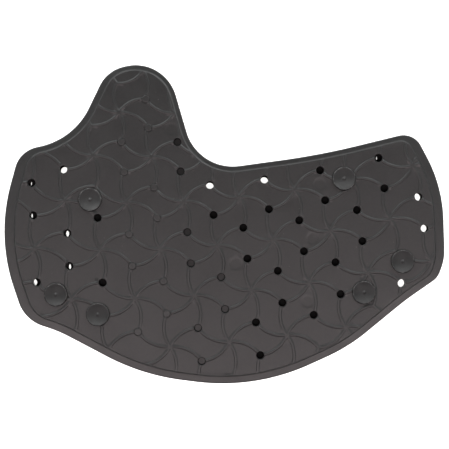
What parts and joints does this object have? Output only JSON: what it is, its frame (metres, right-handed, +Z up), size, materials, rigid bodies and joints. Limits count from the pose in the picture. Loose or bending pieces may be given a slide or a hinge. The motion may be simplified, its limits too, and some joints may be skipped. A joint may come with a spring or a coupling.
{
  "type": "snowboard stomp pad",
  "caption": "Foot-shaped rubber stomp pad with a thumb-like lobe, pinwheel ribs, drain holes and dished grip studs on a foam-tape backing with a peel-off liner.",
  "frame": {"origin": "middle of the liner's underside, which lies on the board or table", "axes": "+Z up out of the tread, X along the pad's length, +Y towards the lobe"},
  "size_m": [0.1999, 0.1446, 0.0048],
  "materials": {
    "rubber": "moulded matt rubber, fine grain",
    "bond_film": "black pressure-sensitive adhesive film",
    "foam": "closed-cell black foam tape",
    "mount_film": "translucent pressure-sensitive adhesive film",
    "liner": "siliconised white paper",
    "stud": "black moulded nylon, satin",
    "washer": "zinc-plated steel"
  },
  "bodies": {
    "pad": {"tread_pad": "rubber", "bond_adhesive": "bond_film", "foam_underlay": "foam", "mount_adhesive": "mount_film", "grip_stud_1": "stud", "grip_stud_2": "stud", "grip_stud_3": "stud", "grip_stud_4": "stud", "grip_stud_5": "stud", "grip_stud_6": "stud", "stud_washer_1": "washer", "stud_washer_2": "washer", "stud_washer_3": "washer", "stud_washer_4": "washer", "stud_washer_5": "washer", "stud_washer_6": "washer"},
    "liner": {"release_liner": "liner"}
  },
  "joints": [
    {"name": "liner_peel", "type": "slide", "parent": "pad", "child": "liner", "axis": [0, -1, 0], "range_m": [0, 0.16]}
  ]
}
